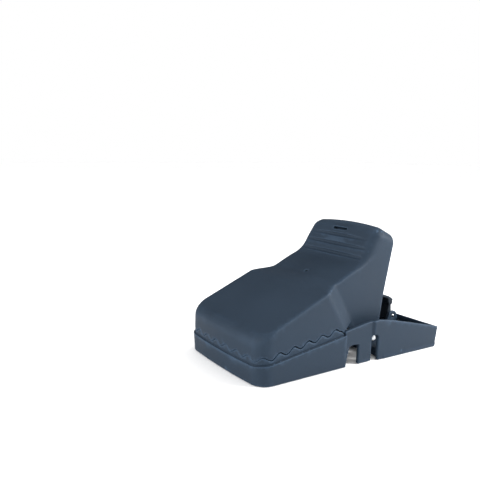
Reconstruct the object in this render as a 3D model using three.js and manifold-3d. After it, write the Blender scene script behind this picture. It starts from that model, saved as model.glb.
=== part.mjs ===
// A snap trap for rats in moulded plastic. A toothed upper jaw with a raised handle turns on a steel pin in
// a long base. Two torsion springs hold the jaws shut. Pressing the handle down opens the mouth until a
// cross bar in the back of the handle catches under a hook at the tail. The treadle in the mouth, which
// holds the bait cup, draws the hook back through a wire link and lets the jaw go.
//
// Units are millimetres. X runs across the trap, Y from the mouth to the tail and Z up. The drawing is made
// with y = 0 at the front of the mouth, and the exported group moves it so that the origin is the middle of
// the underside.
import * as THREE from "three";
import { mergeVertices } from "three/addons/utils/BufferGeometryUtils.js";
import Module from "manifold-3d";

const wasm = await Module();
wasm.setup();

// ---- driving dimensions ----
const LENGTH = 147;
const MOUTH_HALF = 38.2; // half the width of the mouth at the floor
const TAIL_HALF = 41.9; // half the width at the tail end
const DRAFT = 0.8; // how far the base's walls lean out by their top
const WALL = 2.4;
const JAW_WALL = 2.2;
const CORNER = 9.5; // plan radius of the two front corners
const BOW = 1.1; // how far the front of the mouth bows forward
const FLOOR = 2.4; // thickness of the base's floors
const GAP = 0.3; // between neighbouring pieces
const PIN_GAP = 0.1; // round a pin in its bore
const HINGE = { y: 89, z: 14.4, r: 2 };
const MOUTH_END = 64.5; // where the tooth band stops
const RIM_FRONT = 11.4; // height of the rim at the front
const RIM_SLOPE = 0.135;
const TOOTH = { pitch: 10.4, start: 0.8, mid: 2.9, rise: 0.017, amp: 1.25 };
const NOTCH = { y0: 65.6, y1: 75.9, roof: 12.7 }; // anchor notch through both side walls
const PIN_SLOT = { y0: 86.7, y1: 91.3, top: 16.7 }; // slot that the hinge pin is pushed up into
const HANDLE_HALF = 31;
const BRIDGE_HALF = 10.5; // half the width of the bridge that joins the mouth's floor to the tail's
const TREADLE = { y: 57, z: 5.2, pinR: 1, ear: 23 };
const TREADLE_PIN = { y: TREADLE.y, z: TREADLE.z, r: TREADLE.pinR };
const TREADLE_ARM = 7; // from the treadle's pin up to the link
const CUP = { y: 32, r: 13, flange: 15.6, wall: 1.8, low: 4.2, high: 12.2 };
const LATCH = { y: 138.6, z: 13.8, pinR: 1.4, half: 7.5, ear: 9.9 };
const LATCH_PIN = { y: LATCH.y, z: LATCH.z, r: LATCH.pinR };
const LATCH_ARM = 5; // from the latch's pin down to the link
const SPRING = { wire: 1.1, mean: 5.6, turns: 4, inner: 13.5, outer: 26.5, arm: 37, armLean: -1.5 };
const SPRING_FOOT = { reach: 9, z: HINGE.z - SPRING.mean };
const LINK_R = 0.8;
const CATCH = { y: 106, z: 49.3 }; // cross bar in the handle's open back
const GRIP = { y: 85, z: 60.3, topY: 97, topZ: 80.6 }; // the handle's front face, from its foot to its top
const GROOVES = [2.9, 9.4, 15.7]; // distances up that face
const SLIT = { up: 20.4, half: 6, tall: 2, deep: 3.6 }; // blind, with a thicker wall behind it

const RIPPLE = 0.004; // unevenness of the jaw's faces
const FINEST = 0.002; // the finest detail kept in a mesh

const BLACK = { color: 0x39434f, roughness: 0.5, metalness: 0 };
const BLACK_INNER = { color: 0x2c333c, roughness: 0.6, metalness: 0 };
const STEEL = { color: 0xa9adb2, roughness: 0.3, metalness: 1 };

// ---- solids ----
function solid(geometry) {
  const bare = geometry.index ? geometry.toNonIndexed() : geometry.clone();
  bare.deleteAttribute("normal");
  bare.deleteAttribute("uv");
  const merged = mergeVertices(bare, 1e-3);
  return new wasm.Manifold(
    new wasm.Mesh({
      numProp: 3,
      vertProperties: merged.attributes.position.array,
      triVerts: new Uint32Array(merged.index.array),
    }),
  );
}

function geometryOf(manifold) {
  const mesh = manifold.asOriginal().simplify(FINEST).getMesh();
  const made = new THREE.BufferGeometry();
  made.setAttribute("position", new THREE.BufferAttribute(new Float32Array(mesh.vertProperties), 3));
  made.setIndex(new THREE.BufferAttribute(new Uint32Array(mesh.triVerts), 1));
  made.computeVertexNormals();
  return made;
}

// Leaves no two neighbouring faces in exactly one plane, as on a real moulding.
function rippled(manifold) {
  return manifold.asOriginal().simplify(0.005).warp((v) => {
    const [x, y, z] = v;
    v[0] += RIPPLE * Math.sin(1.7 * y + 2.9 * z);
    v[1] += RIPPLE * Math.sin(2.3 * z + 1.9 * x);
    v[2] += RIPPLE * Math.sin(1.3 * x + 3.1 * y);
  });
}

// Joins the first solid with the others.
const join = (first, ...others) => others.reduce((sum, next) => sum.add(next), first);
const cut = (first, ...others) => others.reduce((rest, next) => rest.subtract(next), first);

function box([x0, x1], [y0, y1], [z0, z1]) {
  const made = new THREE.BoxGeometry(x1 - x0, y1 - y0, z1 - z0);
  return solid(made.translate((x0 + x1) / 2, (y0 + y1) / 2, (z0 + z1) / 2));
}

// A cylinder along X between x0 and x1.
function barX(y, z, r, x0, x1, sides = 20) {
  const made = new THREE.CylinderGeometry(r, r, x1 - x0, sides);
  return solid(made.rotateZ(Math.PI / 2).translate((x0 + x1) / 2, y, z));
}

// A cylinder along Z between z0 and z1.
function barZ(x, y, r, z0, z1, sides = 36) {
  const made = new THREE.CylinderGeometry(r, r, z1 - z0, sides);
  return solid(made.rotateX(Math.PI / 2).translate(x, y, (z0 + z1) / 2));
}

// The points of a closed outline whose corners are [u, v] or, rounded off, [u, v, radius].
function rounded(corners, steps = 5) {
  const points = [];
  corners.forEach(([u, v, radius = 0], i) => {
    const here = new THREE.Vector2(u, v);
    if (!radius) {
      points.push(here);
      return;
    }
    const last = corners[(i + corners.length - 1) % corners.length];
    const next = corners[(i + 1) % corners.length];
    const back = new THREE.Vector2(last[0] - u, last[1] - v).normalize();
    const on = new THREE.Vector2(next[0] - u, next[1] - v).normalize();
    const half = Math.acos(THREE.MathUtils.clamp(back.dot(on), -1, 1)) / 2;
    const middle = back.clone().add(on).normalize().multiplyScalar(radius / Math.sin(half)).add(here);
    const from = here.clone().addScaledVector(back, radius / Math.tan(half)).sub(middle);
    const to = here.clone().addScaledVector(on, radius / Math.tan(half)).sub(middle);
    const sweep = Math.atan2(from.cross(to), from.dot(to));
    for (let k = 0; k <= steps; k++) {
      points.push(from.clone().rotateAround(new THREE.Vector2(), (sweep * k) / steps).add(middle));
    }
  });
  return points;
}

// A side view, given as [y, z] corners, made solid between x0 and x1.
function sideView(corners, x0, x1) {
  const shape = new THREE.Shape(rounded(corners));
  const made = new THREE.ExtrudeGeometry(shape, { depth: x1 - x0, bevelEnabled: false });
  // The extrusion's x, y and z become the trap's y, z and x.
  const turn = new THREE.Matrix4().set(0, 0, 1, x0, 1, 0, 0, 0, 0, 1, 0, 0, 0, 0, 0, 1);
  return solid(made.applyMatrix4(turn));
}

// A plan, given as [x, y] corners, made solid between z0 and z1.
function plan(corners, z0, z1) {
  const shape = new THREE.Shape(rounded(corners));
  const made = new THREE.ExtrudeGeometry(shape, { depth: z1 - z0, bevelEnabled: false });
  return solid(made.translate(0, 0, z0));
}

// A solid from a closed list of points and triangles, whichever way round the triangles are given.
function closedSolid(points, faces) {
  const made = new THREE.BufferGeometry();
  made.setAttribute("position", new THREE.Float32BufferAttribute(points.flat(), 3));
  made.setIndex(faces);
  const whole = solid(made);
  if (whole.volume() > 0) return whole;
  made.setIndex(faces.map((_, k) => faces[k - (k % 3) + 2 - (k % 3)]));
  return solid(made);
}

// A skin over a list of rings, each a list of [x, y, z], that closes on a point at each end.
function skin(rings, first, last) {
  const n = rings[0].length;
  const at = (i, j) => 1 + i * n + (j % n);
  const points = [first, ...rings.flat(), last];
  const faces = [];
  for (let j = 0; j < n; j++) {
    faces.push(0, at(0, j + 1), at(0, j));
    faces.push(points.length - 1, at(rings.length - 1, j), at(rings.length - 1, j + 1));
  }
  for (let i = 0; i + 1 < rings.length; i++) {
    for (let j = 0; j < n; j++) {
      faces.push(at(i, j), at(i, j + 1), at(i + 1, j + 1));
      faces.push(at(i, j), at(i + 1, j + 1), at(i + 1, j));
    }
  }
  return closedSolid(points, faces);
}

// A wall that follows a plan: each station has its outer and inner points at the foot and at the top, and
// the heights of both.
function wall(stations) {
  const points = stations.flatMap((s) => [
    [...s.footOut, s.low], [...s.topOut, s.high], [...s.topIn, s.high], [...s.footIn, s.low],
  ]);
  const faces = [];
  for (let i = 0; i + 1 < stations.length; i++) {
    const a = i * 4;
    const b = a + 4;
    for (let k = 0; k < 4; k++) {
      const m = (k + 1) % 4;
      faces.push(a + k, b + k, b + m, a + k, b + m, a + m);
    }
  }
  const end = (stations.length - 1) * 4;
  faces.push(0, 1, 2, 0, 2, 3, end, end + 2, end + 1, end, end + 3, end + 2);
  return closedSolid(points, faces);
}

// Round wire of radius r along a curve.
function wire(curve, r, steps, sides = 8) {
  const section = new THREE.Shape();
  for (let k = 0; k < sides; k++) {
    const a = (2 * Math.PI * k) / sides;
    section[k ? "lineTo" : "moveTo"](r * Math.cos(a), r * Math.sin(a));
  }
  return solid(new THREE.ExtrudeGeometry(section, { extrudePath: curve, steps, bevelEnabled: false }));
}

// ---- the base's plan ----
// One side of the mouth's plan at the floor, from the front's middle round the corner and back to y.
function mouthPlan(toY) {
  const points = [];
  const cornerX = MOUTH_HALF - CORNER;
  const cornerY = BOW + CORNER;
  const bowY = (x) => BOW * (x / cornerX) ** 2;
  const across = Math.round(cornerX / 1.6);
  for (let k = 0; k < across; k++) {
    const x = (cornerX * k) / across;
    points.push([x, bowY(x)]);
  }
  for (let k = 0; k <= 14; k++) {
    const a = (Math.PI / 2) * (k / 14);
    points.push([cornerX + CORNER * Math.sin(a), cornerY - CORNER * Math.cos(a)]);
  }
  const along = Math.round((toY - cornerY) / 1.3);
  for (let k = 1; k <= along; k++) points.push([MOUTH_HALF, cornerY + ((toY - cornerY) * k) / along]);
  return points;
}

// A list of [x, y] moved out of its own line by d, where the list runs from the front's middle backwards.
function offset(points, d) {
  return points.map(([x, y], i) => {
    const [ax, ay] = points[Math.max(i - 1, 0)];
    const [bx, by] = points[Math.min(i + 1, points.length - 1)];
    const size = Math.hypot(bx - ax, by - ay);
    const nx = (by - ay) / size;
    const ny = -(bx - ax) / size;
    return i ? [x + nx * d, y + ny * d] : [0, y - d];
  });
}

// Both sides of a half plan, as one list that starts and ends at the back.
const bothSides = (half) => [...half.slice(1).reverse(), ...half.map(([x, y]) => [-x, y])];

const rimHeight = (y) => RIM_FRONT + RIM_SLOPE * y;

// Height of the top of the base's teeth, where s is the length along the plan from the front's middle, and is
// negative on the left.
function toothHeight(y, s) {
  const turn = (2 * Math.PI * (s - TOOTH.start)) / TOOTH.pitch;
  const wave = TOOTH.mid + TOOTH.rise * y - TOOTH.amp * Math.cos(turn);
  const fade = THREE.MathUtils.smoothstep(MOUTH_END - y, 0.5, 4);
  return rimHeight(y) + wave * fade;
}

// Length along a list of points at each of them.
function lengths(points) {
  let s = 0;
  return points.map(([x, y], i) => {
    if (i) s += Math.hypot(x - points[i - 1][0], y - points[i - 1][1]);
    return s;
  });
}

// Stations of the mouth's wall between two offsets of its plan, up to the height that high(y, s) gives.
function mouthStations(low, high, lean, outer = 0, inner = -WALL) {
  const half = mouthPlan(MOUTH_END);
  const run = lengths(half);
  const s = [...run.slice(1).reverse(), ...run.map((v) => -v)];
  const [footOut, topOut, topIn, footIn] = [outer, outer + lean, inner + lean, inner].map((d) =>
    bothSides(offset(half, d)),
  );
  return bothSides(half).map(([, y], i) => ({
    footOut: footOut[i], topOut: topOut[i], topIn: topIn[i], footIn: footIn[i], low, high: high(y, s[i]),
  }));
}

// Height of the top edge of the tail's side walls, which rises to an arch over the hinge.
const archHeight = (y) => Math.min(22.4 + (y - MOUTH_END) * 0.155, 26.6 - (y - 92) * 0.24);

// One side wall of the tail. It steps out behind the middle leg and leans out by DRAFT.
function tailSide(side) {
  const foot = (y) => (y < 87 ? MOUTH_HALF : 39.4 + ((TAIL_HALF - DRAFT - 39.4) * (y - 88)) / (LENGTH - 88));
  const ys = [MOUTH_END - 0.2, 70, 76, 82, 86, 88];
  for (let y = 92; y < LENGTH - 4; y += 5) ys.push(y);
  ys.push(LENGTH - 1.9);
  const at = (x, y) => [side * x, y];
  return wall(
    ys.map((y) => ({
      footOut: at(foot(y), y), topOut: at(foot(y) + DRAFT, y), topIn: at(foot(y) + DRAFT - WALL, y),
      footIn: at(foot(y) - WALL, y), low: 0, high: archHeight(y),
    })),
  );
}

// ---- pieces of the base ----
// Runs a side view through both side walls but not through what stands between them.
function throughSides(corners) {
  return join(sideView(corners, -60, -33), sideView(corners, 33, 60));
}

// A pair of plates at plus and minus x, with a bore for a pin along X.
function pairOfEars(corners, x, thick, pin) {
  const bore = barX(pin.y, pin.z, pin.r + PIN_GAP, -45, 45);
  return [-1, 1].map((side) => cut(sideView(corners, side * x - thick / 2, side * x + thick / 2), bore));
}

function makeMouthTray() {
  const rim = wall(mouthStations(0, rimHeight, DRAFT));
  const teeth = wall(mouthStations(RIM_FRONT - 2, toothHeight, 0));
  const floor = plan(bothSides(offset(mouthPlan(MOUTH_END), -WALL / 2)), 0, FLOOR);
  const back = box([-37, 37], [MOUTH_END - WALL, MOUTH_END], [0, 9]);
  return cut(join(rim, teeth, floor, back), barZ(0, CUP.y, CUP.flange + 1.6, -1, FLOOR + 1));
}

function makeTailTray() {
  const half = TAIL_HALF - DRAFT - 0.05;
  const end = sideView(
    [[LENGTH - 4.2, 0], [LENGTH - 2, 0, 1], [LENGTH, 13.4], [LENGTH - WALL, 13.4]], -half, half,
  );
  const floor = plan([[-38, 97], [38, 97], [40, LENGTH - 3], [-40, LENGTH - 3]], 0, FLOOR);
  const front = box([-38.3, 38.3], [96, 98], [0, 5]);
  return join(tailSide(-1), tailSide(1), end, floor, front);
}

function makeBase() {
  const shell = cut(
    join(makeMouthTray(), makeTailTray()),
    throughSides([
      [NOTCH.y0, -1], [NOTCH.y1, -1], [NOTCH.y1, NOTCH.roof, 1.5], [NOTCH.y0 + 2, NOTCH.roof, 1.5],
    ]),
    throughSides([[PIN_SLOT.y0, -1], [PIN_SLOT.y1, -1], [PIN_SLOT.y1, HINGE.z], [PIN_SLOT.y0, HINGE.z]]),
    throughSides([[PIN_SLOT.y0, -1], [PIN_SLOT.y1 + 1.2, -1], [PIN_SLOT.y1, 4], [PIN_SLOT.y0, 4]]),
    barX(HINGE.y, HINGE.z, HINGE.r + GAP, -60, 60),
  );
  const bridge = box([-BRIDGE_HALF, BRIDGE_HALF], [MOUTH_END - 1, 97], [0, FLOOR]);
  const bearers = pairOfEars(
    [[MOUTH_END - 1, 0], [97, 0], [97, 6], [93.5, 18.5, 3], [84.5, 18.5, 3], [78, 8], [MOUTH_END - 1, 8]],
    BRIDGE_HALF, 2.2, HINGE,
  );
  const treadleEars = pairOfEars(
    [[52, 0], [62, 0], [62, 5], [59.8, 8.2, 2], [54.2, 8.2, 2], [52, 5]], TREADLE.ear, 2.2, TREADLE_PIN,
  );
  const { y, z } = LATCH;
  const earTop = z + 3.4;
  const latchEars = pairOfEars(
    [[y - 6.5, 0], [y + 6, 0], [y + 6, z - 4.6], [y + 3, earTop, 3], [y - 3, earTop, 3], [y - 6.5, z - 4.6]],
    LATCH.ear, 2.2, LATCH_PIN,
  );
  const springLedges = [-1, 1].map((side) =>
    box([side * 19.5 - 7.5, side * 19.5 + 7.5], [96, 98], [0, SPRING_FOOT.z - SPRING.wire - GAP]),
  );
  return join(shell, bridge, ...bearers, ...treadleEars, ...latchEars, ...springLedges);
}

// ---- the upper jaw ----
// Side view of the jaw, as [y, z, radius of the corner], from the mouth's foot over the top and round. Its
// open back and underside run out by spill, to be trimmed afterwards.
function jawSide(spill) {
  return [
    [-0.15, 8 - spill], [-0.15, 27.6, 6], [50.6, 48.4, 25], [64, 50.6, 12], [GRIP.y, GRIP.z, 14],
    [GRIP.topY, GRIP.topZ, 8], [104, 82.6, 5], [113.9 + spill, 77.5 - spill / 2], [104.2 + spill, 37],
    [101.4 + spill, 21], [97.5 + spill / 2, 8.2 - spill], [80.5 - spill / 2, 8.2 - spill], [72, 22 - spill],
  ];
}
const JAW_BACK = [[113.9, 79], [104.2, 37, 20], [101.4, 21], [97.5, 8]]; // the jaw ends at this line
const JAW_MIDDLE = [70, 33]; // every part of the side view is seen from here

// Radius of the edge between the jaw's outer face and its side walls.
function edgeRadius(y, z) {
  const { smoothstep } = THREE.MathUtils;
  return z < 20 ? 0 : 1.8 + 1.6 * smoothstep(14 - y, 0, 12) + 5 * smoothstep(z, 55, 66);
}

// The jaw's side view, inset by d, run out by spill and made into a solid of the given half width.
function jawSkin(halfWidth, d, spill) {
  const outline = rounded(jawSide(spill), 6);
  const n = outline.length;
  const edge = outline.map((p, i) => {
    const along = outline[(i + 1) % n].clone().sub(outline[(i + n - 1) % n]).normalize();
    const out = new THREE.Vector2(-along.y, along.x);
    return { at: p.clone().addScaledVector(out, -d), out, round: Math.max(edgeRadius(p.x, p.y) - d, 0.05) };
  });
  const arcs = [90, 60, 30, 0].map((a) => THREE.MathUtils.degToRad(a));
  const ring = (side, a) => edge.map(({ at, out, round }) => {
    const drop = round * (1 - Math.cos(a));
    return [side * (halfWidth - round * (1 - Math.sin(a))), at.x - out.x * drop, at.y - out.y * drop];
  });
  const rings = [...arcs.map((a) => ring(-1, a)), ...arcs.reverse().map((a) => ring(1, a))];
  return skin(rings, [-halfWidth, ...JAW_MIDDLE], [halfWidth, ...JAW_MIDDLE]);
}

// What lies in front of the two sloping shoulders where the jaw narrows to its handle.
function shoulderBlock(d) {
  const side = 52 - 2 * d;
  const made = plan([[-45, -60], [45, -60], [45, side], [0, side + 80], [-45, side]], -40, 80);
  return made.warp((v) => {
    v[1] -= (v[2] - 24) * 0.62;
  });
}

// The jaw's outer body, or the hollow inside it when d is its wall. The skins that are trimmed start a little
// outside the faces that trim them.
function jawBody(d, spill) {
  const half = offset(mouthPlan(BOW + CORNER + 1.3), -d);
  const mouth = plan(bothSides([...half, [MOUTH_HALF - d, 140]]), -20, 100);
  const handle = jawSkin(HANDLE_HALF - d, d - 0.15, spill).intersect(box([-50, 50], [48, 200], [-30, 120]));
  return jawSkin(MOUTH_HALF - d + 0.6, d, spill).intersect(mouth).intersect(join(handle, shoulderBlock(d)));
}

function throughArch(corners) {
  const inner = HANDLE_HALF + GAP;
  return join(sideView(corners, inner, 60), sideView(corners, -60, -inner));
}

// Everything under the line where the jaw meets the base: the teeth of the mouth and the tail's arch.
function underJaw() {
  const teeth = wall(mouthStations(-20, (y, s) => toothHeight(y, s) + GAP, 0, 1, -3.2));
  const start = MOUTH_END - 1;
  const arch = throughArch([[start, -20], [112, -20], [112, 28.4], [92, 27.4], [start, 23.2]]);
  return join(teeth, arch);
}

// The [y, z] of a point on the handle's front face, given how far up it is and how far out of the face.
function gripPoint(up, out) {
  const along = new THREE.Vector2(GRIP.topY - GRIP.y, GRIP.topZ - GRIP.z).normalize();
  return [GRIP.y + up * along.x - out * along.y, GRIP.z + up * along.y + out * along.x];
}

// A block across the handle's front, between two distances up the face and from a depth to a height over it.
function gripBlock(low, high, deep, out, half) {
  const corners = [gripPoint(low, -deep), gripPoint(high, -deep), gripPoint(high, out), gripPoint(low, out)];
  return sideView(corners, -half, half);
}

function makeUpperJaw() {
  const shell = cut(jawBody(0, 4), jawBody(JAW_WALL, 10));
  const { y, z } = CATCH;
  const bar = [[y - 2.6, z - 1.6], [y + 1, z - 2.6], [y + 1.4, z + 2.2], [y - 2, z + 1.6]];
  const catchBar = sideView(bar, -HANDLE_HALF + 1, HANDLE_HALF - 1);
  const slitLow = SLIT.up - SLIT.tall / 2;
  const slitHigh = SLIT.up + SLIT.tall / 2;
  const slit = gripBlock(slitLow, slitHigh, SLIT.deep, 4, SLIT.half);
  const slitBack = gripBlock(slitLow - 1.7, slitHigh + 1.7, SLIT.deep + 1.4, -1, SLIT.half + 1.7);
  const behind = sideView([...JAW_BACK, [97, -30], [200, -30], [200, 79]], -60, 60);
  const below = box([-60, 60], [60, 120], [-40, 8.2]);
  const grooves = GROOVES.map((up) => barX(...gripPoint(up, 0.3), 1.3, -28, 28, 12));
  const bore = barX(HINGE.y, HINGE.z, HINGE.r + PIN_GAP, -40, 40);
  const solidJaw = join(shell, catchBar, slitBack);
  return rippled(cut(solidJaw, behind, below, underJaw(), ...grooves, slit, bore));
}

// ---- moving pieces in the base ----
function makeTreadle() {
  const { y, z } = TREADLE;
  const tubeHalf = TREADLE.ear - 1.1 - GAP;
  const plate = plan([[-27, 9, 8], [27, 9, 8], [27, 50, 3], [-27, 50, 3]], 9, 11);
  const skirt = cut(barZ(0, CUP.y, CUP.r + 3.4, 6.4, 10), barZ(0, CUP.y, CUP.r + 1.4, 6, 12));
  const web = [[44, 9.2], [44, 11], [50, 11], [59, 5.2], [56, 3.2]];
  const webs = [-15, 15].map((x) => sideView(web, x - 1.2, x + 1.2));
  const tube = barX(y, z, 2.3, -tubeHalf, tubeHalf);
  const armTop = z + TREADLE_ARM + 2;
  const arm = sideView([[y - 2.2, z], [y + 2.2, z], [y + 2, armTop, 2], [y - 2, armTop, 2]], -1.2, 1.2);
  const body = join(plate, skirt, ...webs, tube, arm);
  return cut(
    body,
    barZ(0, CUP.y, CUP.r + GAP, 0, 20),
    barX(y, z, TREADLE.pinR + PIN_GAP, -40, 40),
    barX(y, z + TREADLE_ARM, LINK_R + GAP, -5, 5, 12),
  );
}

function makeCup() {
  const { y, r, flange, low, high, wall: side } = CUP;
  const points = [
    [0, low], [flange - 1, low], [flange - 1, low + 1.6], [r, low + 1.6], [r, high], [r - side, high],
    [r - side, low + 2], [0, low + 2],
  ].map(([u, v]) => new THREE.Vector2(u, v));
  const body = solid(new THREE.LatheGeometry(points, 48).rotateX(Math.PI / 2).translate(0, y, 0));
  const grip = box([-9, 9], [y - 1, y + 1], [low - 2.4, low + 0.5]);
  return join(body, grip);
}

function makeLatch() {
  const { y, z } = LATCH;
  const hook = sideView(
    [
      [y - 3.2, z - 2], [y - 2, z - 8, 1.6], [y + 2, z - 8, 1.6], [y + 3.2, z - 2], [y + 2.7, z + 6, 2],
      [y + 4.9, z + 10, 1.5], [y + 0.6, z + 13.4, 3], [y - 8, z + 16, 0.8], [y - 8, z + 13.7],
      [y - 1.9, z + 11, 2], [y - 0.6, z + 7],
    ],
    -LATCH.half, LATCH.half,
  );
  const foot = [-1, 1].map((side) => box([side * 5 - 3.6, side * 5 + 3.6], [y - 5, y + 5], [z - 9, z - 3.4]));
  return cut(
    hook, ...foot,
    barX(y, z, LATCH.pinR + PIN_GAP, -20, 20),
    barX(y, z - LATCH_ARM, LINK_R + GAP, -5, 5, 12),
  );
}

// The wire between the treadle's arm and the hook's foot, with both ends bent across through them.
function makeLink() {
  const x = 3.4;
  const frontEnd = [TREADLE.y, TREADLE.z + TREADLE_ARM];
  const backEnd = [LATCH.y, LATCH.z - LATCH_ARM];
  const path = new THREE.CurvePath();
  const points = [[-2.6, ...frontEnd], [x, ...frontEnd], [x, ...backEnd], [-2.6, ...backEnd]].map(
    (p) => new THREE.Vector3(...p),
  );
  const bend = 1.4;
  let from = points[0];
  for (let i = 1; i < points.length - 1; i++) {
    const before = points[i].clone().lerp(points[i - 1], bend / points[i].distanceTo(points[i - 1]));
    const after = points[i].clone().lerp(points[i + 1], bend / points[i].distanceTo(points[i + 1]));
    path.add(new THREE.LineCurve3(from, before));
    path.add(new THREE.QuadraticBezierCurve3(before, points[i], after));
    from = after;
  }
  path.add(new THREE.LineCurve3(from, points[3]));
  return wire(path, LINK_R, 70, 10);
}

// A torsion spring's wire: a short foot on the base's ledge, the coil, then a long arm up the handle.
class SpringLine extends THREE.Curve {
  constructor(side) {
    super();
    this.side = side;
  }

  getPoint(t, target = new THREE.Vector3()) {
    const { mean, turns } = SPRING;
    const footShare = 0.06;
    const armShare = 0.3;
    const turn = THREE.MathUtils.clamp((t - footShare) / (1 - footShare - armShare), 0, 1);
    const angle = -Math.PI / 2 - 2 * Math.PI * (turns + 0.25) * turn;
    const x = THREE.MathUtils.lerp(SPRING.inner, SPRING.outer, turn);
    let y = HINGE.y + mean * Math.cos(angle);
    let z = HINGE.z + mean * Math.sin(angle);
    if (t < footShare) y += SPRING_FOOT.reach * (1 - t / footShare);
    if (t > 1 - armShare) {
      const up = (t - 1 + armShare) / armShare;
      y += SPRING.armLean * up;
      z += SPRING.arm * up;
    }
    return target.set(this.side * x, y, z);
  }
}

const makeSpring = (side) => wire(new SpringLine(side), SPRING.wire, 150, 8);

// ---- assembly ----
const pieces = [
  ["lower_jaw", makeBase(), BLACK],
  ["upper_jaw", makeUpperJaw(), BLACK],
  ["hinge_pin", barX(HINGE.y, HINGE.z, HINGE.r, -38.8, 38.8, 28), STEEL],
  ["right_spring", makeSpring(1), STEEL],
  ["left_spring", makeSpring(-1), STEEL],
  ["treadle", makeTreadle(), BLACK_INNER],
  ["treadle_pin", barX(TREADLE.y, TREADLE.z, TREADLE.pinR, -TREADLE.ear - 1, TREADLE.ear + 1), STEEL],
  ["bait_cup", makeCup(), BLACK_INNER],
  ["trip_link", makeLink(), STEEL],
  ["latch_hook", makeLatch(), BLACK_INNER],
  ["latch_pin", barX(LATCH.y, LATCH.z, LATCH.pinR, -LATCH.ear - 1.5, LATCH.ear + 1.5), STEEL],
];

const trap = new THREE.Group();
trap.name = "rat_trap";
for (const [name, shape, look] of pieces) {
  const geometry = geometryOf(shape.translate([0, -LENGTH / 2, 0]));
  const mesh = new THREE.Mesh(geometry, new THREE.MeshStandardMaterial(look));
  mesh.name = name;
  trap.add(mesh);
}

export default trap;
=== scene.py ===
"""The finished look of the rat trap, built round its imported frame.

The moulded pieces and the pins are worked out as distance fields, in millimetres and negative inside,
because that gives every edge the soft radius of a moulding. Each field becomes a mesh through OpenVDB.
Wires are curves. Lengths are in the drawing's millimetres, where y is 0 at the front of the mouth, and are
moved into the frame when a mesh is made.
"""

import math

import bmesh
import bpy
import numpy as np
import openvdb
from mathutils import Matrix, Vector


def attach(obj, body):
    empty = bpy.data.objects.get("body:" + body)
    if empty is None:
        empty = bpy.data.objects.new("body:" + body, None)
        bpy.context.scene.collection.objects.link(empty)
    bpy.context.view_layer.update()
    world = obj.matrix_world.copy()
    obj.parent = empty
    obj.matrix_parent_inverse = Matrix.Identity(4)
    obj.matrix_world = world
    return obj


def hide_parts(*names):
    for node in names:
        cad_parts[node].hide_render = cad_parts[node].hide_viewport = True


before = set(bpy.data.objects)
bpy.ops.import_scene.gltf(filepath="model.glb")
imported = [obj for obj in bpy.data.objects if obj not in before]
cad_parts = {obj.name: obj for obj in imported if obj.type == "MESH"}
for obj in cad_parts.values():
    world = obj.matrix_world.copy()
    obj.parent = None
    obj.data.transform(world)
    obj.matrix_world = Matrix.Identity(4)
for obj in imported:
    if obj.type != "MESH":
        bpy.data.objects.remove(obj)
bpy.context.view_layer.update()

# ---- driving dimensions, as in the frame ----
MM = 0.001
LENGTH = 147
MOUTH_HALF = 38.2
TAIL_HALF = 41.9
DRAFT = 0.8
WALL = 2.4
JAW_WALL = 2.2
CORNER = 9.5
BOW = 1.1
FLOOR = 2.4
HINGE_Y, HINGE_Z, HINGE_R = HINGE_PIN = (89, 14.4, 2)  # y, z and radius
MOUTH_END = 64.5
RIM_FRONT, RIM_SLOPE = 11.4, 0.135
TOOTH_PITCH, TOOTH_START, TOOTH_AMP = 10.4, 0.8, 1.25
HANDLE_HALF = 31
BRIDGE_HALF = 10.5
CUP_Y, CUP_R, CUP_FLANGE, CUP_LOW, CUP_HIGH = 32, 13, 15.6, 4.2, 12.2
TREADLE_PIN = (57, 5.2, 1)
LATCH_PIN = (138.6, 13.8, 1.4)
TREADLE_EAR, LATCH_EAR, LATCH_HALF = 23, 9.9, 7.5
LINK_R = 0.8
GAP = 0.3
PIN_GAP = 0.1
STEP = 0.34  # grid spacing of the mouldings
EDGE = 0.45  # radius of a moulding's ordinary edges
FLATNESS = 0.02  # how far OpenVDB may merge the faces of flat areas


# ---- distance fields ----
class Grid:
    """Sample points over a box, as arrays x, y and z that broadcast against each other."""

    def __init__(self, low, high, step=STEP):
        self.step = step
        self.low = np.array(low, dtype=float) - 2 * step
        spans = [np.arange(a, b + 3 * step, step, dtype=np.float32) for a, b in zip(self.low, high)]
        self.x, self.y, self.z = np.meshgrid(*spans, indexing="ij", sparse=True)


def both(a, b, r=EDGE):
    """What is inside a and b, with their common edge rounded to radius r."""
    corner = np.hypot(np.maximum(a + r, 0), np.maximum(b + r, 0))
    return np.minimum(np.maximum(a, b), -r) + corner


def either(a, b, r=EDGE):
    """What is inside a or b, with a fillet of radius r between them."""
    return -both(-a, -b, r)


def without(a, b, r=EDGE):
    return both(a, -b, r)


def between(v, low, high):
    return np.maximum(low - v, v - high)


def box(g, x, y, z, r=EDGE):
    """A box with rounded edges, from its ranges in x, y and z."""
    return both(both(between(g.x, *x), between(g.y, *y), r), between(g.z, *z), r)


def round_bar(u, v, at, r):
    """An endless bar whose section is a circle at the point at of the plane (u, v)."""
    return np.hypot(u - at[0], v - at[1]) - r


def smooth(v, start, end):
    """0 before start, 1 after end and a soft step between."""
    t = np.clip((v - start) / (end - start), 0, 1)
    return t * t * (3 - 2 * t)


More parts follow.
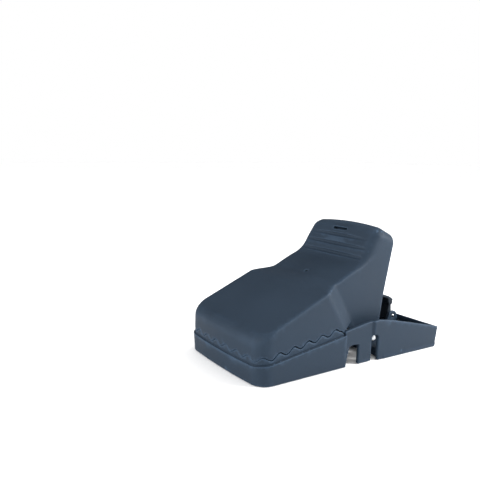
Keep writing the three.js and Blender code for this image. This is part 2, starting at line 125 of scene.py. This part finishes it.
def rounded(corners, steps=6):
    """The points of a closed outline whose corners are (u, v) or, rounded off, (u, v, radius)."""
    points = []
    for i, (u, v, *radius) in enumerate(corners):
        here = Vector((u, v))
        if not radius:
            points.append(here)
            continue
        back = (Vector(corners[i - 1][:2]) - here).normalized()
        on = (Vector(corners[(i + 1) % len(corners)][:2]) - here).normalized()
        half = back.angle(on) / 2
        middle = here + (back + on).normalized() * (radius[0] / math.sin(half))
        start = here + back * (radius[0] / math.tan(half)) - middle
        end = here + on * (radius[0] / math.tan(half)) - middle
        sweep = math.atan2(start.cross(end), start.dot(end))
        points += [middle + Matrix.Rotation(sweep * k / steps, 2) @ start for k in range(steps + 1)]
    return points


def outline(corners, u, v):
    """Distance from a closed outline in the plane (u, v)."""
    points = rounded(corners)
    nearest = np.full(np.broadcast_shapes(u.shape, v.shape), np.inf, dtype=np.float32)
    inside = np.zeros(nearest.shape, dtype=bool)
    for a, b in zip(points, points[1:] + points[:1]):
        along = b - a
        t = np.clip(((u - a.x) * along.x + (v - a.y) * along.y) / along.length_squared, 0, 1)
        nearest = np.minimum(nearest, np.hypot(u - a.x - t * along.x, v - a.y - t * along.y))
        if a.y != b.y:
            crossing = a.x + along.x * (v - a.y) / along.y
            inside ^= ((a.y > v) != (b.y > v)) & (u < crossing)
    return np.where(inside, -nearest, nearest)


# ---- the trap's shared shapes ----
def rim_height(y):
    return RIM_FRONT + RIM_SLOPE * y


def mouth_plan(g):
    """Distance from the mouth's plan, which bows forward and has two round corners."""
    inner = MOUTH_HALF - CORNER
    x = np.abs(g.x)
    y = g.y + BOW * (1 - (np.minimum(x, inner) / inner) ** 2)
    qx = x - inner
    qy = BOW + CORNER - y
    return np.hypot(np.maximum(qx, 0), np.maximum(qy, 0)) + np.minimum(np.maximum(qx, qy), 0) - CORNER


def tooth_height(g):
    """Height of the top of the base's teeth, which run round the mouth as one wave."""
    inner = MOUTH_HALF - CORNER
    qx = np.abs(g.x) - inner
    qy = BOW + CORNER - g.y
    round_corner = inner + CORNER * np.arctan2(np.maximum(qx, 1e-6), np.maximum(qy, 1e-6))
    along_side = inner + CORNER * math.pi / 2 - qy
    run = np.where(qx <= 0, np.abs(g.x), np.where(qy <= 0, along_side, round_corner)) * np.sign(g.x)
    wave = 2.9 + 0.017 * g.y - TOOTH_AMP * np.cos(2 * math.pi * (run - TOOTH_START) / TOOTH_PITCH)
    return rim_height(g.y) + wave * smooth(MOUTH_END - g.y, 0.3, 3.5)


def arch_height(y):
    """Height of the top edge of the tail's side walls."""
    rise = 22.4 + (y - MOUTH_END) * 0.155
    fall = 26.6 - (y - 92) * 0.24
    return np.minimum(rise, fall) - 0.8 * np.exp(-(((y - 92) / 8) ** 2))


# ---- upper jaw ----
GRIP_FOOT = Vector((85, 60.3))  # where the handle's front face starts, in y and z
GRIP_TOP = Vector((97, 80.6))
JAW_BACK = [(116.9, 90), (104.2, 37, 20), (101.4, 21, 4), (97.5, 8.2), (97.5, -9), (140, -9), (140, 90)]


def grip_point(up, out):
    """The (y, z) of a point by the handle's front face, from how far up it and how far out of it."""
    along = (GRIP_TOP - GRIP_FOOT).normalized()
    return tuple(GRIP_FOOT + along * up + Vector((-along.y, along.x)) * out)


def jaw_side(g, inset, sunk):
    """Distance from the jaw's side view, inset, without its back and with its underside sunk."""
    corners = [
        (-12, -sunk), (-12, 22.5), (0.4, 27.6, 3), (50.6, 48.4, 25), (64, 50.6, 12), (*GRIP_FOOT, 14),
        (*GRIP_TOP, 8), (104, 82.6, 5), (125, 71.8), (125, 8.2 - sunk), (80.5, 8.2 - sunk, 4),
        (72, 22 - sunk), (40, 8 - sunk),
    ]
    crown = 1.2 * smooth(g.z, 24, 30) + 2.2 * smooth(g.z, 66, 80)
    return outline(corners, g.y, g.z) + crown * (g.x / MOUTH_HALF) ** 2 + inset


def jaw_edge(g):
    """Radius of the edge between the jaw's top and its sides."""
    return 1.1 + 4 * smooth(13 - g.y, 0, 11) + 5.6 * smooth(g.z, 54, 66)


def jaw_walls(g, inset):
    """Distance from the jaw's upright faces: the mouth's plan, the shoulders and the handle's sides."""
    slope = (80 / 45, 1, 0.62)
    shoulder = (slope[0] * np.abs(g.x) + slope[1] * g.y + slope[2] * (g.z - 24) - 132) / math.hypot(*slope)
    front = both(mouth_plan(g) + inset, shoulder + inset, 0.8)
    handle = np.maximum(np.abs(g.x) - HANDLE_HALF + inset, 30 - g.y)
    return either(front, handle, 0.7)


def grip_block(g, low, high, deep, out, half):
    """A block across the handle's front, between two distances up the face and from a depth to a height."""
    corners = [grip_point(low, -deep), grip_point(high, -deep), grip_point(high, out), grip_point(low, out)]
    return both(outline(corners, g.y, g.z), np.abs(g.x) - half, 0.6)


def jaw_cuts(g):
    """The grooves and the slit across the handle's front, and the dimple that moulding leaves in the top."""
    cuts = np.sqrt(g.x**2 + (g.y - 66.7) ** 2 + (g.z - 51.5) ** 2) - 1.3
    for up in (2.9, 9.4, 15.7):
        groove = both(round_bar(g.y, g.z, grip_point(up, 0.3), 1.35), np.abs(g.x) - 28, 1)
        cuts = np.minimum(cuts, groove)
    return np.minimum(cuts, grip_block(g, 19.5, 21.3, 3.6, 4, 6))


def upper_jaw(g):
    outer = both(jaw_side(g, 0, 0), jaw_walls(g, 0), jaw_edge(g))
    hollow = both(jaw_side(g, JAW_WALL, 14), jaw_walls(g, JAW_WALL), 1.2)
    shell = without(outer, hollow, 0.5)
    shell = either(shell, grip_block(g, 17.7, 23.1, 5, -1, 7.7), 0.6)
    bar = outline([(103.4, 47.7), (107, 46.7), (107.4, 51.5), (104, 50.9)], g.y, g.z)
    shell = either(shell, both(bar, np.abs(g.x) - HANDLE_HALF + 1), 0.6)
    shell = without(shell, outline(JAW_BACK, g.y, g.z), 0.6)
    shell = without(shell, under_jaw(g), 0.2)
    shell = without(shell, jaw_cuts(g), 0.2)
    return without(shell, round_bar(g.y, g.z, (HINGE_Y, HINGE_Z), HINGE_R + PIN_GAP), 0.3)


def under_jaw(g):
    """What the jaw leaves to the base: the teeth under its wide front, and the arch beside the handle."""
    gap = 0.14 + 0.6 * smooth(g.y, 2, 12)
    teeth = np.maximum(g.z - tooth_height(g) - gap, -mouth_plan(g) - WALL - 0.8)
    teeth = np.maximum(teeth, g.y - MOUTH_END)
    arch = np.maximum(g.z - arch_height(g.y) - 0.6, HANDLE_HALF + GAP - np.abs(g.x))
    return np.minimum(teeth, np.maximum(arch, MOUTH_END - 1 - g.y))


# ---- base ----
def tail_half(y):
    """Half the tail's width at the floor: it steps out behind the middle leg and flares to the tail."""
    step = 1.2 * smooth(y, 86, 88.5)
    flare = (TAIL_HALF - DRAFT - MOUTH_HALF - 1.2) * np.clip((y - 88) / (LENGTH - 88), 0, 1)
    return MOUTH_HALF + step + flare


def mouth_tray(g):
    plan = mouth_plan(g)
    front = between(g.y, -20, MOUTH_END)
    leaning = plan - DRAFT * g.z / RIM_FRONT
    wall = both(leaning, -leaning - WALL, 0.3)
    wall = both(both(wall, between(g.z, 0, rim_height(g.y))), front, 0.2)
    teeth = both(both(plan + 0.1, -plan - WALL, 0.3), between(g.z, 6, tooth_height(g)), 0.2)
    teeth = np.maximum(teeth, front)
    floor = both(plan + 1, between(g.z, 0, FLOOR), 0.3)
    tray = either(np.minimum(wall, teeth), np.maximum(floor, front), 0.8)
    back = box(g, (-37, 37), (MOUTH_END - WALL, MOUTH_END), (0, 9))
    hole = np.hypot(g.x, g.y - CUP_Y) - CUP_FLANGE - 1.6
    seam = np.hypot(plan - 0.15, g.z - rim_height(g.y)) - 0.5
    tray = without(either(tray, back, 0.8), hole)
    return without(tray, np.maximum(seam, g.y - MOUTH_END + 1), 0.2)


def tail_tray(g):
    side = np.abs(g.x) - tail_half(g.y) - DRAFT * np.clip(g.z / 24, 0, 1)
    end = g.y - (LENGTH - 2) - 2 * g.z / 13.4
    outer = both(both(side, end, 1.2), -g.z, 0.5)
    hollow = both(side + WALL, end + WALL, 0.8)
    walls = without(both(outer, g.z - arch_height(g.y), 0.5), hollow, 0.4)
    floor = both(outer, between(g.z, 0, FLOOR), 0.3)
    walls = either(walls, np.maximum(floor, 96.5 - g.y), 0.8)
    front = box(g, (-38.3, 38.3), (96, 98), (0, 5))
    walls = either(walls, front, 0.6)
    corner = outline([(LENGTH - 5, -4), (LENGTH + 4, -4), (LENGTH + 4, 5)], g.y, g.z)
    walls = without(walls, corner + 1.2, 2)
    return np.maximum(walls, MOUTH_END - 0.4 - g.y)


def ear_pair(g, corners, at, thick, pin):
    """Two plates with a bore for a pin along X, at plus and minus at."""
    plates = both(outline(corners, g.y, g.z), between(np.abs(g.x), at - thick / 2, at + thick / 2))
    return without(plates, round_bar(g.y, g.z, pin[:2], pin[2] + PIN_GAP), 0.2)


def side_openings(g):
    """The anchor notch and the hinge pin's slot, which go through both side walls from below."""
    notch = outline([(65.6, -9), (75.9, -9), (75.9, 12.7, 1.2), (67.8, 12.7, 1.8), (65.6, 1)], g.y, g.z)
    slot = [(85.4, -9), (92.6, -9), (91.3, 5), (91.3, 16.7, 2.2), (86.7, 16.7, 2.2), (86.7, 1)]
    slot = outline(slot, g.y, g.z)
    return np.maximum(np.minimum(notch, slot), 33 - np.abs(g.x))


def lower_jaw(g):
    shell = either(mouth_tray(g), tail_tray(g), 0.4)
    shell = without(shell, side_openings(g), 0.7)
    bridge = box(g, (-BRIDGE_HALF, BRIDGE_HALF), (MOUTH_END - 1, 97), (0, FLOOR))
    shell = either(shell, bridge, 0.8)
    start = MOUTH_END - 1
    bearers = [(start, 0), (97, 0), (97, 6), (93.5, 18.5, 3), (84.5, 18.5, 3), (78, 8), (start, 8)]
    shell = either(shell, ear_pair(g, bearers, BRIDGE_HALF, 2.2, HINGE_PIN), 0.6)
    ears = [(52, 0), (62, 0), (62, 5), (59.8, 8.2, 2), (54.2, 8.2, 2), (52, 5)]
    shell = either(shell, ear_pair(g, ears, TREADLE_EAR, 2.2, TREADLE_PIN), 0.6)
    y, z, _ = LATCH_PIN
    top = z + 3.4
    ears = [(y - 6.5, 0), (y + 6, 0), (y + 6, z - 4.6), (y + 3, top, 3), (y - 3, top, 3), (y - 6.5, z - 4.6)]
    shell = either(shell, ear_pair(g, ears, LATCH_EAR, 2.2, LATCH_PIN), 0.6)
    ledge = both(both(between(np.abs(g.x), 12, 27), between(g.y, 96, 98)), between(g.z, 0, 7.4))
    return both(either(shell, ledge, 0.5), -g.z, 0.3)


# ---- moving pieces in the base ----
def treadle(g):
    y, z, r = TREADLE_PIN
    plate = outline([(-27, 9, 8), (27, 9, 8), (27, 50, 3), (-27, 50, 3)], g.x, g.y)
    body = both(plate, between(g.z, 9, 11), 0.4)
    ring = np.hypot(g.x, g.y - CUP_Y)
    skirt = both(between(ring, CUP_R + 1.4, CUP_R + 3.4), between(g.z, 6.4, 10), 0.3)
    webs = outline([(44, 9.2), (44, 11), (50, 11), (59, 5.2), (56, 3.2)], g.y, g.z)
    webs = both(webs, between(np.abs(g.x), 13.8, 16.2), 0.3)
    tube = both(round_bar(g.y, g.z, (y, z), 2.3), np.abs(g.x) - TREADLE_EAR + 1.4, 0.3)
    arm = outline([(y - 2.2, z), (y + 2.2, z), (y + 2, z + 9, 2), (y - 2, z + 9, 2)], g.y, g.z)
    arm = both(arm, np.abs(g.x) - 1.2, 0.3)
    for more in (skirt, webs, tube, arm):
        body = either(body, more, 0.4)
    body = without(body, ring - CUP_R - GAP, 0.3)
    body = without(body, round_bar(g.y, g.z, (y, z), r + PIN_GAP), 0.2)
    return without(body, round_bar(g.y, g.z, (y, z + 7), LINK_R + GAP), 0.2)


def latch_hook(g):
    y, z, r = LATCH_PIN
    corners = [
        (y - 3.2, z - 2), (y - 2, z - 8, 1.6), (y + 2, z - 8, 1.6), (y + 3.2, z - 2), (y + 2.7, z + 6, 2),
        (y + 4.9, z + 10, 1.5), (y + 0.6, z + 13.4, 3), (y - 8, z + 16, 0.8), (y - 8, z + 13.7),
        (y - 1.9, z + 11, 2), (y - 0.6, z + 7),
    ]
    side = outline(corners, g.y, g.z)
    # Ribs across the hook's back, for the thumb.
    ribs = 0.4 * np.cos(2 * math.pi * (g.z + 0.4 * g.y) / 3.4) * smooth(g.y + g.z, y + z + 7, y + z + 10)
    hook = both(side + 0.35 - ribs, np.abs(g.x) - LATCH_HALF, 0.9)
    foot = both(between(np.abs(g.x), 1.4, 8.6), g.z - z + 3.4)
    hook = without(hook, foot, 0.4)
    hook = without(hook, round_bar(g.y, g.z, (y, z), r + PIN_GAP), 0.2)
    return without(hook, round_bar(g.y, g.z, (y, z - 5), LINK_R + GAP), 0.2)


def bait_cup(g):
    ring = np.hypot(g.x, g.y - CUP_Y)
    body = both(ring - CUP_R, between(g.z, CUP_LOW, CUP_HIGH), 0.5)
    flange = both(ring - CUP_FLANGE + 1, between(g.z, CUP_LOW, CUP_LOW + 1.6), 0.4)
    body = without(either(body, flange, 0.4), both(ring - CUP_R + 1.8, CUP_LOW + 2 - g.z, 1.2), 0.5)
    grip = both(both(np.abs(g.x) - 9, np.abs(g.y - CUP_Y) - 1), between(g.z, CUP_LOW - 2.4, CUP_LOW + 1))
    return either(body, grip, 0.5)


# ---- fields into meshes ----
def into_frame(points):
    """Drawing millimetres into the frame's metres."""
    return (np.asarray(points) - (0, LENGTH / 2, 0)) * MM


def moulding(name, low, high, shape, body, material, step=STEP):
    """A mesh of the shape(grid) field between two corners, standing for the CAD node of the same name."""
    g = Grid(low, high, step)
    field = np.clip(shape(g), -4 * step, 4 * step).astype(np.float32)
    volume = openvdb.FloatGrid(4 * step)
    volume.copyFromArray(field)
    corners, triangles, quads = volume.convertToPolygons(0, FLATNESS)
    mesh = bpy.data.meshes.new(name)
    mesh.from_pydata(into_frame(corners * step + g.low), [], [*quads.tolist(), *triangles.tolist()])
    if signed_volume(mesh) < 0:
        mesh.flip_normals()
    mesh.shade_smooth()
    made = bpy.data.objects.new(name, mesh)
    bpy.context.collection.objects.link(made)
    return finished(made, body, material, name)


def signed_volume(mesh):
    """The volume inside a closed mesh, which is negative when its faces point inwards."""
    mesh.calc_loop_triangles()
    at = np.array([v.co for v in mesh.vertices])
    a, b, c = (at[[t.vertices[k] for t in mesh.loop_triangles]] for k in range(3))
    return float(np.sum(np.cross(a, b) * c)) / 6


def finished(obj, body, material, node):
    obj.data.materials.append(material)
    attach(obj, body)
    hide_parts(node)
    return obj


def wire(name, points, radius, body, material):
    """Round wire through a list of points, with closed ends."""
    curve = bpy.data.curves.new(name, "CURVE")
    curve.dimensions = "3D"
    curve.bevel_depth = radius * MM
    curve.bevel_resolution = 5
    curve.use_fill_caps = True
    line = curve.splines.new("POLY")
    line.points.add(len(points) - 1)
    for point, at in zip(line.points, into_frame(points)):
        point.co = (*at, 1)
    line.use_smooth = True
    made = bpy.data.objects.new(name, curve)
    bpy.context.collection.objects.link(made)
    return finished(made, body, material, name)


def pin(at, half):
    """The field of a steel pin along X with rounded ends."""
    y, z, r = at
    return lambda g: both(round_bar(g.y, g.z, (y, z), r), np.abs(g.x) - half, 0.8 * r)


def spring_line(side):
    """A torsion spring: a short foot on the base's ledge, the coil, then a long arm up the handle."""
    mean, turns, inner, outer, steps = 5.6, 4.25, 13.5, 26.5, 170
    points = [(side * inner, HINGE_Y + 9, HINGE_Z - mean)]
    for k in range(steps + 1):
        share = k / steps
        angle = -math.pi / 2 - 2 * math.pi * turns * share
        across = inner + (outer - inner) * share
        points.append((side * across, HINGE_Y + mean * math.cos(angle), HINGE_Z + mean * math.sin(angle)))
    points.append((side * outer, HINGE_Y - mean - 1.5, HINGE_Z + 37))
    return points


def link_line():
    """The wire between the treadle's arm and the hook's foot, with both ends bent across."""
    x, end_x, bend, steps = 3.4, -2.6, 1.4, 6
    front, back = (TREADLE_PIN[0], TREADLE_PIN[1] + 7), (LATCH_PIN[0], LATCH_PIN[1] - 5)
    corners = [Vector(p) for p in ((end_x, *front), (x, *front), (x, *back), (end_x, *back))]
    points = [corners[0]]
    for before, here, after in zip(corners, corners[1:], corners[2:]):
        start = here + (before - here).normalized() * bend
        end = here + (after - here).normalized() * bend
        for k in range(steps + 1):
            t = k / steps
            points.append(start * (1 - t) ** 2 + here * 2 * t * (1 - t) + end * t**2)
    return [tuple(p) for p in points + [corners[3]]]


# ---- materials ----
class Nodes:
    """A new material and short ways to add nodes to it."""

    def __init__(self, name):
        self.material = bpy.data.materials.new(name)
        self.material.use_nodes = True
        self.tree = self.material.node_tree
        self.shader = self.tree.nodes["Principled BSDF"]
        self.place = self.add("ShaderNodeTexCoord").outputs["Object"]

    def add(self, kind, **inputs):
        node = self.tree.nodes.new(kind)
        for name, value in inputs.items():
            self.put(node.inputs[name.replace("_", " ")], value)
        return node

    def put(self, socket, value):
        if isinstance(value, bpy.types.NodeSocket):
            self.tree.links.new(value, socket)
        else:
            socket.default_value = value

    def stretched(self, scale):
        mapping = self.add("ShaderNodeMapping", Vector=self.place)
        mapping.inputs["Scale"].default_value = scale
        return mapping.outputs["Vector"]

    def noise(self, scale, detail=3, vector=None):
        node = self.add("ShaderNodeTexNoise", Vector=vector or self.place, Scale=scale, Detail=detail)
        return node.outputs["Fac"]

    def ranged(self, value, low, high, start=0.3, end=0.7):
        """value between start and end, spread from low to high."""
        node = self.add("ShaderNodeMapRange", Value=value)
        for name, number in (("From Min", start), ("From Max", end), ("To Min", low), ("To Max", high)):
            node.inputs[name].default_value = number
        return node.outputs["Result"]

    def mix(self, factor, a, b):
        node = self.add("ShaderNodeMix")
        node.data_type = "RGBA"
        self.put(node.inputs["Factor"], factor)
        for socket, value in ((node.inputs[6], a), (node.inputs[7], b)):
            self.put(socket, value)
        return node.outputs[2]

    def bump(self, height, distance, strength, normal=None):
        node = self.add("ShaderNodeBump", Height=height, Distance=distance, Strength=strength)
        if normal:
            self.put(node.inputs["Normal"], normal)
        return node.outputs["Normal"]


def plastic(name, colour, rough, grain=0.35):
    """Moulded plastic: a fine spark grain, faint flow marks, and a painted highlight that makes sharp edges
    a little paler.
    """
    n = Nodes(name)
    flow = n.noise(26, 4)
    grainy = n.noise(3200, 2)
    edge = n.add("ShaderNodeNewGeometry").outputs["Pointiness"]
    pale = tuple(c * 2.2 for c in colour[:3]) + (1,)
    dark = tuple(c * 0.86 for c in colour[:3]) + (1,)
    body = n.mix(n.ranged(flow, 0, 1), dark, colour)
    # Painted highlight: where pointiness finds a sharp outward edge, the colour is painted paler in place of
    # the shine on that edge.
    painted_edge_highlight = n.mix(n.ranged(edge, 0, 0.9, 0.505, 0.56), body, pale)
    n.put(n.shader.inputs["Base Color"], painted_edge_highlight)
    n.put(n.shader.inputs["Roughness"], n.ranged(flow, rough - 0.05, rough + 0.06))
    n.shader.inputs["Specular IOR Level"].default_value = 0.12
    waves = n.bump(flow, 0.004, 0.06)
    n.put(n.shader.inputs["Normal"], n.bump(grainy, 0.0003, grain, waves))
    return n.material


def steel(name, colour, rough, along):
    """Drawn steel with fine scratches along X, or even all round for bent wire."""
    n = Nodes(name)
    scratches = n.noise(1400, 4, n.stretched((0.06, 1, 1) if along else (1, 1, 1)))
    stain = n.noise(120, 3)
    dull = tuple(c * 0.7 for c in colour[:3]) + (1,)
    n.put(n.shader.inputs["Base Color"], n.mix(n.ranged(stain, 0, 0.5), colour, dull))
    n.shader.inputs["Metallic"].default_value = 1
    n.put(n.shader.inputs["Roughness"], n.ranged(scratches, rough - 0.06, rough + 0.12))
    n.put(n.shader.inputs["Normal"], n.bump(scratches, 0.0002, 0.25))
    return n.material


def pale_floor():
    n = Nodes("pale_floor")
    n.put(n.shader.inputs["Base Color"], (0.9, 0.9, 0.9, 1))
    n.shader.inputs["Roughness"].default_value = 0.7
    return n.material


# ---- build ----
BLACK = plastic("black_plastic", (0.015, 0.026, 0.042, 1), 0.55)
# Painted shade: the same black plastic painted darker for the treadle, the bait cup and the latch hook,
# which sit in the shade inside the trap.
INNER_PAINTED_SHADE = plastic("inner_plastic", (0.010, 0.015, 0.022, 1), 0.6)
PIN_STEEL = steel("pin_steel", (0.46, 0.48, 0.50, 1), 0.26, True)
WIRE_STEEL = steel("spring_steel", (0.42, 0.43, 0.45, 1), 0.32, False)

moulding("lower_jaw", (-42, -1, 0), (42, LENGTH, 27), lower_jaw, "base", BLACK)
moulding("upper_jaw", (-38.5, 0, 8), (38.5, 114, 83), upper_jaw, "jaw", BLACK)
moulding("treadle", (-27, 9, 2.5), (27, 60, 15), treadle, "pedal", INNER_PAINTED_SHADE)
moulding("bait_cup", (-16, 16, 1.5), (16, 48, 12.5), bait_cup, "cup", INNER_PAINTED_SHADE, 0.3)
moulding("latch_hook", (-8, 129, 5), (8, 145, 31), latch_hook, "hook", INNER_PAINTED_SHADE, 0.25)
pins = (
    ("hinge_pin", HINGE_PIN, 38.8),
    ("treadle_pin", TREADLE_PIN, TREADLE_EAR + 1),
    ("latch_pin", LATCH_PIN, LATCH_EAR + 1.5),
)
for name, at, half in pins:
    y, z, r = at
    moulding(name, (-half, y - r, z - r), (half, y + r, z + r), pin(at, half), "base", PIN_STEEL, 0.2)
wire("right_spring", spring_line(1), 1.1, "jaw", WIRE_STEEL)
wire("left_spring", spring_line(-1), 1.1, "jaw", WIRE_STEEL)
wire("trip_link", link_line(), LINK_R, "link", WIRE_STEEL)


# ---- stage, lights and camera ----
def make_floor():
    mesh = bpy.data.meshes.new("floor")
    made = bmesh.new()
    bmesh.ops.create_grid(made, x_segments=1, y_segments=1, size=6)
    made.to_mesh(mesh)
    made.free()
    mesh.materials.append(pale_floor())
    floor = bpy.data.objects.new("floor", mesh)
    floor.location.z = -0.0002
    bpy.context.collection.objects.link(floor)


def make_dark_card():
    """A dark card behind the trap, as a studio has, which only shows as the reflection in its top."""
    n = Nodes("dark_card")
    n.put(n.shader.inputs["Base Color"], (0.03, 0.025, 0.02, 1))
    mesh = bpy.data.meshes.new("dark_card")
    mesh.from_pydata([(-1, 0, 0), (1, 0, 0), (1, 0, 0.8), (-1, 0, 0.8)], [], [(0, 1, 2, 3)])
    mesh.materials.append(n.material)
    card = bpy.data.objects.new("dark_card", mesh)
    card.location = (-0.45, 0.25, 0)
    card.rotation_euler.z = math.radians(60)
    for ray in ("camera", "diffuse", "shadow", "transmission"):
        setattr(card, "visible_" + ray, False)
    bpy.context.collection.objects.link(card)


def add_light(name, at, size, power):
    lamp = bpy.data.lights.new(name, "AREA")
    lamp.shape = "DISK"
    lamp.size = size
    lamp.energy = power
    made = bpy.data.objects.new(name, lamp)
    made.location = at
    made.rotation_euler = (Vector((0, 0, 0.03)) - Vector(at)).to_track_quat("-Z", "Y").to_euler()
    bpy.context.collection.objects.link(made)


def make_world():
    """White to the eye and a softer grey to the surfaces, as in a studio with a white sweep."""
    world = bpy.data.worlds.new("studio")
    world.use_nodes = True
    tree = world.node_tree
    back = tree.nodes["Background"]
    seen = tree.nodes.new("ShaderNodeLightPath").outputs["Is Camera Ray"]
    strength = tree.nodes.new("ShaderNodeMapRange")
    strength.inputs["To Min"].default_value = 1.1
    strength.inputs["To Max"].default_value = 1.0
    tree.links.new(seen, strength.inputs["Value"])
    tree.links.new(strength.outputs["Result"], back.inputs["Strength"])
    back.inputs["Color"].default_value = (1, 1, 1, 1)
    bpy.context.scene.world = world


def make_camera():
    """A camera close to the trap's right front corner, a little above it."""
    lens = bpy.data.cameras.new("camera")
    lens.lens = 41.06
    lens.sensor_width = 36
    lens.shift_x = 0.08
    lens.shift_y = -0.0766
    forward = Vector((-0.8543, 0.5113, -0.0929)).normalized()
    level = forward.cross(Vector((0, 0, 1))).normalized()
    up = level.cross(forward)
    roll = math.radians(0.58)
    right = level * math.cos(roll) + up * math.sin(roll)
    up = up * math.cos(roll) - level * math.sin(roll)
    made = bpy.data.objects.new("camera", lens)
    turn = Matrix((right, up, -forward)).transposed().to_4x4()
    made.matrix_world = Matrix.Translation((0.2662, -0.2465, 0.1278)) @ turn
    lens.clip_start = 0.01
    bpy.context.collection.objects.link(made)
    bpy.context.scene.camera = made


make_floor()
make_dark_card()
make_world()
add_light("key", (0.38, 0.42, 0.34), 0.25, 7)
add_light("fill", (-0.2, -1.2, 0.4), 0.8, 14)
add_light("rim", (-0.2, 1.1, 0.9), 0.7, 4)
make_camera()
bpy.context.scene.view_settings.view_transform = "Standard"
